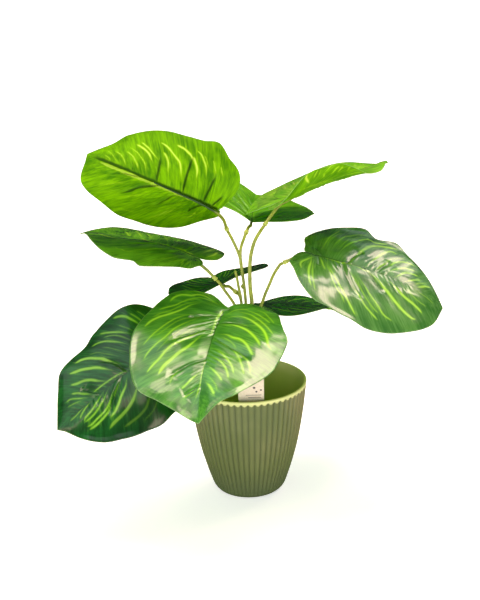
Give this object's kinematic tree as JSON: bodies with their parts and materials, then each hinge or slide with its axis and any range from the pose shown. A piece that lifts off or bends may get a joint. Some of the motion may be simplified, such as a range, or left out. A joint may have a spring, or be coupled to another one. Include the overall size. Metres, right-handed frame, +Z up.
{
  "type": "artificial potted alocasia",
  "caption": "Artificial house plant with broad heart-shaped striped leaves on arching plastic stalks, standing in a ribbed tapered plastic pot.",
  "frame": {"origin": "centre of the pot's flat underside", "axes": "+Z up along the pot's axis, -Y towards the front, where the large drooping leaf hangs over the rim"},
  "size_m": [0.3772, 0.328, 0.3839],
  "materials": {
    "pot": "satin moulded sage-green plastic",
    "filler": "rough cast plug",
    "label": "plain matt card",
    "stalk": "satin moulded plastic",
    "blade": "glossy coated sheet with lime stripes"
  },
  "bodies": {
    "root": {"pot": "pot", "pot_filler": "filler", "plant_label": "label", "main_stem": "stalk", "stalk_upper_right": "stalk", "stalk_upper_fork": "stalk", "stalk_back": "stalk", "stalk_left": "stalk", "stalk_right": "stalk", "stalk_front": "stalk", "stalk_front_left": "stalk", "stalk_back_right": "stalk", "leaf_sleeve_upper_left": "stalk", "leaf_blade_upper_left": "blade", "leaf_sleeve_left": "stalk", "leaf_blade_left": "blade", "leaf_sleeve_back": "stalk", "leaf_blade_back": "blade", "leaf_sleeve_right": "stalk", "leaf_blade_right": "blade", "leaf_sleeve_upper_right": "stalk", "leaf_blade_upper_right": "blade", "leaf_sleeve_upper_back": "stalk", "leaf_blade_upper_back": "blade", "leaf_sleeve_front": "stalk", "leaf_blade_front": "blade", "leaf_sleeve_front_left": "stalk", "leaf_blade_front_left": "blade", "leaf_sleeve_back_right": "stalk", "leaf_blade_back_right": "blade"}
  },
  "joints": []
}
